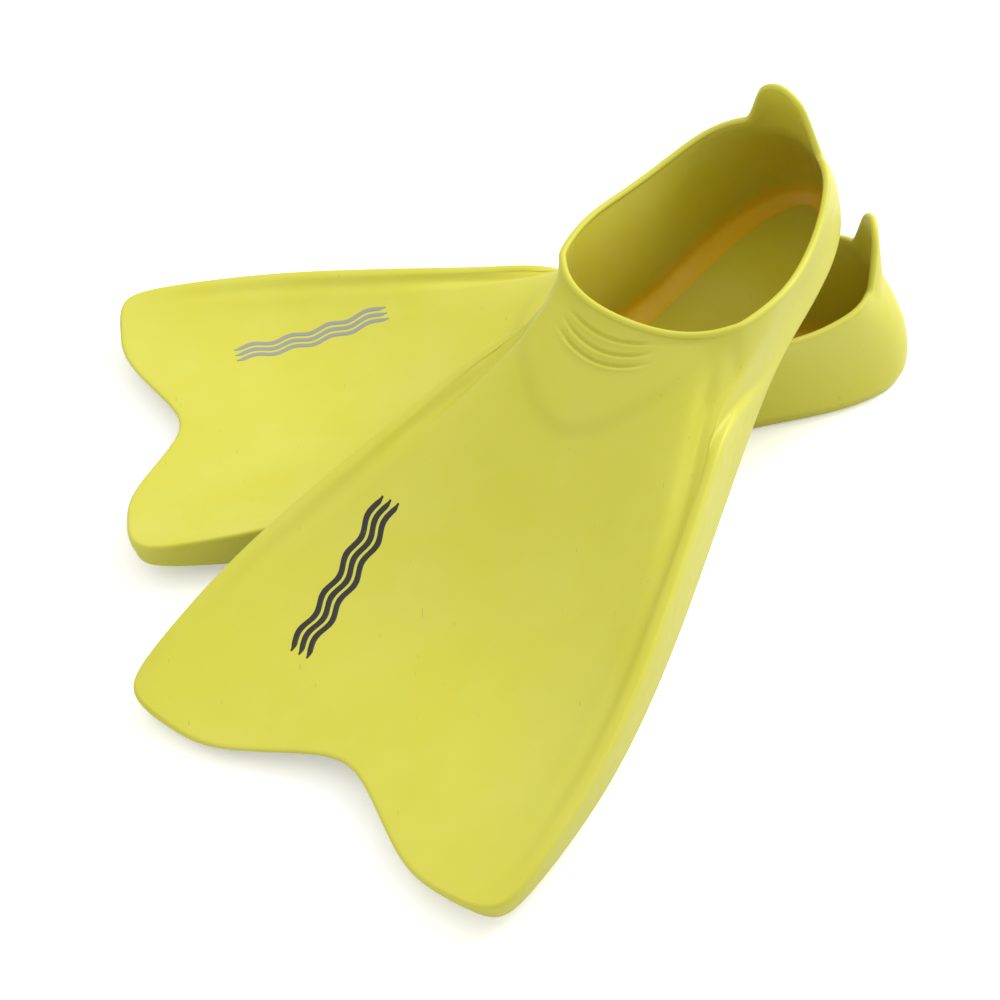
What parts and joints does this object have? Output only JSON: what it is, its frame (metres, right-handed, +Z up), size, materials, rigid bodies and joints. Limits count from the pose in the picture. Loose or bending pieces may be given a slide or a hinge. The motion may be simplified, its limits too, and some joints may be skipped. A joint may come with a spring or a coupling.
{
  "type": "swim fins",
  "caption": "Pair of short full-foot training fins in soft silicone, one leaning on the other, with a pull tab at each heel.",
  "frame": {"origin": "middle of the pair's bounding box, on the surface that the pair lies on", "axes": "+Z up; +X to the right and +Y to the back as the pair is seen from the front"},
  "size_m": [0.4066, 0.4076, 0.1952],
  "materials": {
    "silicone": "satin",
    "print": "matte"
  },
  "bodies": {
    "lower_pocket": {"lower_fin_sole": "silicone", "lower_fin_heel_cup": "silicone", "lower_fin_left_side": "silicone", "lower_fin_right_side": "silicone", "lower_fin_toe_box": "silicone", "lower_fin_collar_bead": "silicone"},
    "lower_tab": {"lower_fin_heel_tab": "silicone"},
    "lower_blade": {"lower_fin_flex_zone": "silicone", "lower_fin_blade": "silicone", "lower_fin_left_rail": "silicone", "lower_fin_right_rail": "silicone", "lower_fin_printed_mark": "print"},
    "upper_pocket": {"upper_fin_sole": "silicone", "upper_fin_heel_cup": "silicone", "upper_fin_left_side": "silicone", "upper_fin_right_side": "silicone", "upper_fin_toe_box": "silicone", "upper_fin_collar_bead": "silicone"},
    "upper_tab": {"upper_fin_heel_tab": "silicone"},
    "upper_blade": {"upper_fin_flex_zone": "silicone", "upper_fin_blade": "silicone", "upper_fin_left_rail": "silicone", "upper_fin_right_rail": "silicone", "upper_fin_printed_mark": "print"}
  },
  "joints": [
    {"name": "upper_fin_lift", "type": "slide", "parent": "lower_pocket", "child": "upper_pocket", "axis": [0, 0, 1], "range_m": [0, 0.3]},
    {"name": "lower_blade_flex", "type": "hinge", "parent": "lower_pocket", "child": "lower_blade", "pos_m": [-0.06698, 0.11288, 0.01], "axis": [0.1616, -0.9869, 0], "range_deg": [0, 35], "stiffness_Nm_per_rad": 4, "deforming": ["lower_fin_flex_zone", "lower_fin_printed_mark"]},
    {"name": "lower_tab_bend", "type": "hinge", "parent": "lower_pocket", "child": "lower_tab", "pos_m": [0.17628, 0.15272, 0.0788], "axis": [0.1616, -0.9869, 0], "range_deg": [-60, 40], "stiffness_Nm_per_rad": 0.05},
    {"name": "upper_blade_flex", "type": "hinge", "parent": "upper_pocket", "child": "upper_blade", "pos_m": [-0.01191, -0.04992, 0.0371], "axis": [0.7865, -0.6167, 0.032], "range_deg": [-35, 0], "stiffness_Nm_per_rad": 4, "deforming": ["upper_fin_flex_zone", "upper_fin_printed_mark"]},
    {"name": "upper_tab_bend", "type": "hinge", "parent": "upper_pocket", "child": "upper_tab", "pos_m": [0.12028, 0.12548, 0.16847], "axis": [0.7865, -0.6167, 0.032], "range_deg": [-60, 40], "stiffness_Nm_per_rad": 0.05}
  ]
}
